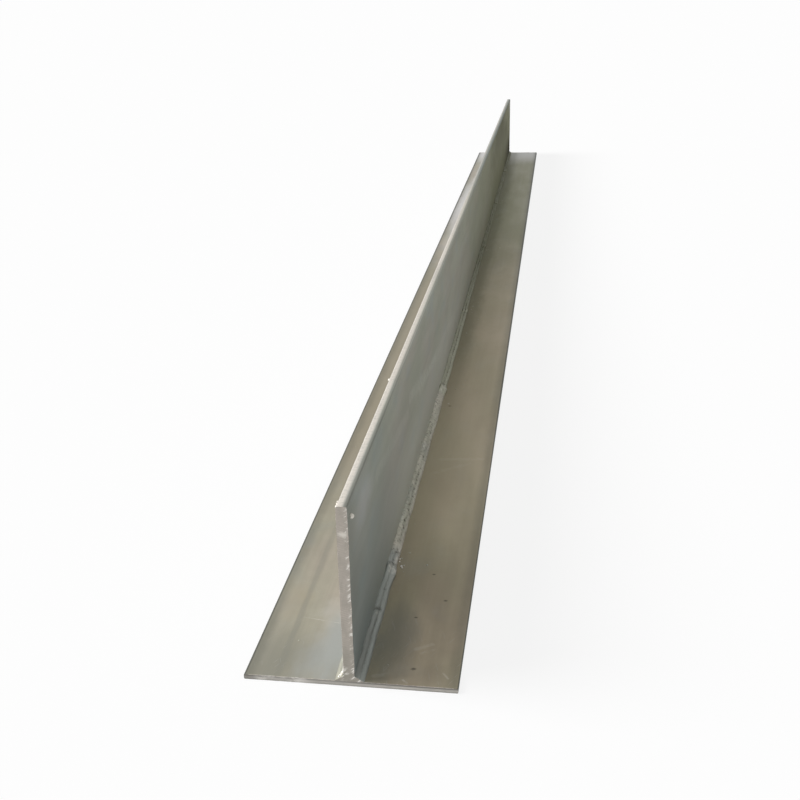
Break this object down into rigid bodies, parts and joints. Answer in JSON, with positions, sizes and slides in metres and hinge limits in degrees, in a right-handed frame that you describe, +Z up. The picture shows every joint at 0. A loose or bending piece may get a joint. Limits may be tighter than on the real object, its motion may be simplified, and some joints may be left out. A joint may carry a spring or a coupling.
{
  "type": "steel t-bar",
  "caption": "Welded galvanised steel T-bar: a wide thin flange plate with a thicker web plate standing on its centre line, joined by fillet welds, for carrying masonry over an opening.",
  "frame": {"origin": "middle of the flange's underside, halfway along the bar", "axes": "+Y along the bar, away from the end that the picture shows nearest; +Z up, from the flange to the web's top edge"},
  "size_m": [0.2, 3, 0.185],
  "materials": {
    "flange_zinc": "dull galvanised, beige grey with weathering",
    "web_zinc": "dull galvanised, blue grey, bright along the top edge",
    "weld_zinc": "galvanised weld bead, rippled and pitted"
  },
  "bodies": {
    "root": {"flange_plate": "flange_zinc", "web_plate": "web_zinc", "weld_bead_right": "weld_zinc", "weld_bead_left": "weld_zinc"}
  },
  "joints": []
}
